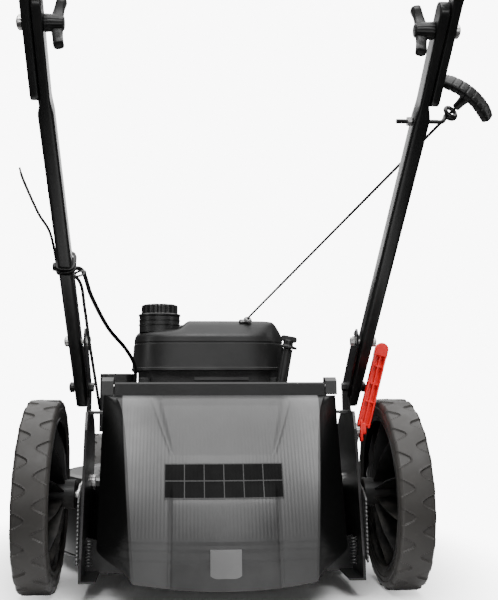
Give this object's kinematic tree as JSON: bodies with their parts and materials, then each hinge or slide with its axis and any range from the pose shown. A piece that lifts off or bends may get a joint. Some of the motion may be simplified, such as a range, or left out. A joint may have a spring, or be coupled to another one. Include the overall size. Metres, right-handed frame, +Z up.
{
  "type": "push lawn mower",
  "caption": "Walk-behind rotary mower with rear door, folding handle, bail, recoil starter, height lever and free-turning blade and wheels.",
  "frame": {"origin": "on the ground, in the middle between the rear wheels, below their axle line", "axes": "+X to the operator's right, +Y forwards in the direction of mowing, +Z up"},
  "size_m": [0.6128, 1.5842, 1.0838],
  "materials": {
    "deck_paint": "satin black",
    "bracket_paint": "gloss black",
    "door_plastic": "moulded, fine vertical grain",
    "zinc": "zinc plated",
    "tube_paint": "gloss black",
    "foam": "foam",
    "knob_plastic": "moulded",
    "rope": "braided cord",
    "grip_plastic": "moulded",
    "cable_jacket": "smooth jacket",
    "engine_casting": "cast, painted dark",
    "cover_plastic": "satin",
    "cap_plastic": "satin",
    "steel": "machined",
    "cast_metal": "cast",
    "red_plastic": "moulded",
    "rim_plastic": "moulded",
    "tyre_rubber": "moulded tread"
  },
  "bodies": {
    "chassis": {"deck_top": "deck_paint", "deck_skirt": "deck_paint", "deck_chute": "deck_paint", "front_plates": "deck_paint", "side_plate_left": "deck_paint", "side_plate_right": "deck_paint", "handle_bracket_left": "bracket_paint", "handle_bracket_right": "bracket_paint", "door_rod": "zinc", "door_springs": "zinc", "engine_block": "engine_casting", "engine_cover": "cover_plastic", "fuel_tank": "cover_plastic", "filler_tube": "cover_plastic", "carburettor": "cast_metal", "air_cleaner": "cover_plastic", "muffler": "cast_metal", "spark_plug": "zinc", "plug_boot": "cable_jacket", "stop_cable_lower": "cable_jacket", "throttle_cable_lower": "cable_jacket", "rope_run": "rope"},
    "rear_door": {"door": "door_plastic"},
    "lower_handle": {"lower_tube_left": "tube_paint", "lower_tube_right": "tube_paint", "handle_bolts": "zinc", "rope_guide": "tube_paint", "cable_tie": "cable_jacket", "stop_cable_middle": "cable_jacket", "throttle_cable_middle": "cable_jacket", "rope_end": "rope"},
    "upper_handle": {"upper_handle": "tube_paint", "foam_grip": "foam", "stop_cable_upper": "cable_jacket", "throttle_cable_upper": "cable_jacket", "bail_wire": "zinc"},
    "bail_bar": {"bail": "tube_paint"},
    "knob_l": {"knob_left": "knob_plastic"},
    "knob_r": {"knob_right": "knob_plastic"},
    "pull_grip": {"starter_grip": "grip_plastic"},
    "recoil": {"rope_pulley": "cover_plastic"},
    "filler_cap": {"fuel_cap": "cap_plastic"},
    "oil_stick": {"dipstick": "cap_plastic"},
    "rotor": {"crankshaft": "steel", "flywheel": "cast_metal", "blade": "steel", "blade_adapter": "steel"},
    "height_rear_right": {"crank_rear_right": "zinc", "height_lever": "red_plastic"},
    "height_rear_left": {"crank_rear_left": "zinc"},
    "height_front_right": {"crank_front_right": "zinc"},
    "height_front_left": {"crank_front_left": "zinc"},
    "wheel_rear_right": {"rim_rear_right": "rim_plastic", "tyre_rear_right": "tyre_rubber"},
    "wheel_rear_left": {"rim_rear_left": "rim_plastic", "tyre_rear_left": "tyre_rubber"},
    "wheel_front_right": {"rim_front_right": "rim_plastic", "tyre_front_right": "tyre_rubber"},
    "wheel_front_left": {"rim_front_left": "rim_plastic", "tyre_front_left": "tyre_rubber"}
  },
  "joints": [
    {"name": "door_lift", "type": "hinge", "parent": "chassis", "child": "rear_door", "pos_m": [0, 0.003, 0.3], "axis": [-1, 0, 0], "range_deg": [0, 80], "stiffness_Nm_per_rad": 0.8, "springref_deg": -17.19, "deforming": ["door_springs"]},
    {"name": "handle_fold", "type": "hinge", "parent": "chassis", "child": "lower_handle", "pos_m": [0, 0.035, 0.299], "axis": [-1, 0, 0], "range_deg": [0, 50], "deforming": ["rope_run", "stop_cable_lower", "throttle_cable_lower"]},
    {"name": "upper_fold", "type": "hinge", "parent": "lower_handle", "child": "upper_handle", "pos_m": [0, -0.45484, 0.69993], "axis": [-1, 0, 0], "range_deg": [0, 145], "deforming": ["stop_cable_middle", "throttle_cable_middle"]},
    {"name": "bail_squeeze", "type": "hinge", "parent": "upper_handle", "child": "bail_bar", "pos_m": [0, -0.75664, 0.94695], "axis": [1, 0, 0], "range_deg": [0, 36], "stiffness_Nm_per_rad": 1.5, "springref_deg": -11.46, "deforming": ["bail_wire"]},
    {"name": "knob_left_turn", "type": "hinge", "parent": "lower_handle", "child": "knob_l", "pos_m": [0, -0.45484, 0.69993], "axis": [1, 0, 0], "continuous": true},
    {"name": "knob_right_turn", "type": "hinge", "parent": "lower_handle", "child": "knob_r", "pos_m": [0, -0.45484, 0.69993], "axis": [1, 0, 0], "continuous": true},
    {"name": "starter_pull", "type": "slide", "parent": "lower_handle", "child": "pull_grip", "axis": [0.3476, -0.8692, 0.3517], "range_m": [0, 0.55], "stiffness_N_per_m": 20, "springref_m": -0.2, "deforming": ["rope_end"]},
    {"name": "recoil_turn", "type": "hinge", "parent": "chassis", "child": "recoil", "pos_m": [0, 0.3, 0.362], "axis": [0, 0, 1], "range_deg": [0, 905]},
    {"name": "fuel_cap_turn", "type": "hinge", "parent": "chassis", "child": "filler_cap", "pos_m": [-0.099, 0.214, 0.43], "axis": [0, 0, 1], "range_deg": [0, 270]},
    {"name": "dipstick_lift", "type": "slide", "parent": "chassis", "child": "oil_stick", "axis": [0.1785, -0.0686, 0.9815], "range_m": [0, 0.16]},
    {"name": "blade_spin", "type": "hinge", "parent": "chassis", "child": "rotor", "pos_m": [0, 0.3, 0.1], "axis": [0, 0, 1], "continuous": true},
    {"name": "height_lever_right", "type": "hinge", "parent": "chassis", "child": "height_rear_right", "pos_m": [0, 0.075, 0.15], "axis": [1, 0, 0], "range_deg": [0, 35]},
    {"name": "height_rear_left_swing", "type": "hinge", "parent": "chassis", "child": "height_rear_left", "pos_m": [0, 0.075, 0.15], "axis": [1, 0, 0], "range_deg": [0, 35]},
    {"name": "height_front_right_swing", "type": "hinge", "parent": "chassis", "child": "height_front_right", "pos_m": [0, 0.687, 0.11], "axis": [1, 0, 0], "range_deg": [0, 35]},
    {"name": "height_front_left_swing", "type": "hinge", "parent": "chassis", "child": "height_front_left", "pos_m": [0, 0.687, 0.11], "axis": [1, 0, 0], "range_deg": [0, 35]},
    {"name": "wheel_rear_right_roll", "type": "hinge", "parent": "height_rear_right", "child": "wheel_rear_right", "pos_m": [0, 0, 0.14], "axis": [1, 0, 0], "continuous": true},
    {"name": "wheel_rear_left_roll", "type": "hinge", "parent": "height_rear_left", "child": "wheel_rear_left", "pos_m": [0, 0, 0.14], "axis": [1, 0, 0], "continuous": true},
    {"name": "wheel_front_right_roll", "type": "hinge", "parent": "height_front_right", "child": "wheel_front_right", "pos_m": [0, 0.612, 0.1], "axis": [1, 0, 0], "continuous": true},
    {"name": "wheel_front_left_roll", "type": "hinge", "parent": "height_front_left", "child": "wheel_front_left", "pos_m": [0, 0.612, 0.1], "axis": [1, 0, 0], "continuous": true}
  ],
  "couplings": [
    {"joint": "recoil_turn", "follows": "starter_pull", "rad_per_m": 28.571},
    {"joint": "height_rear_left_swing", "follows": "height_lever_right", "ratio": 1},
    {"joint": "height_front_right_swing", "follows": "height_lever_right", "ratio": 1},
    {"joint": "height_front_left_swing", "follows": "height_lever_right", "ratio": 1}
  ]
}
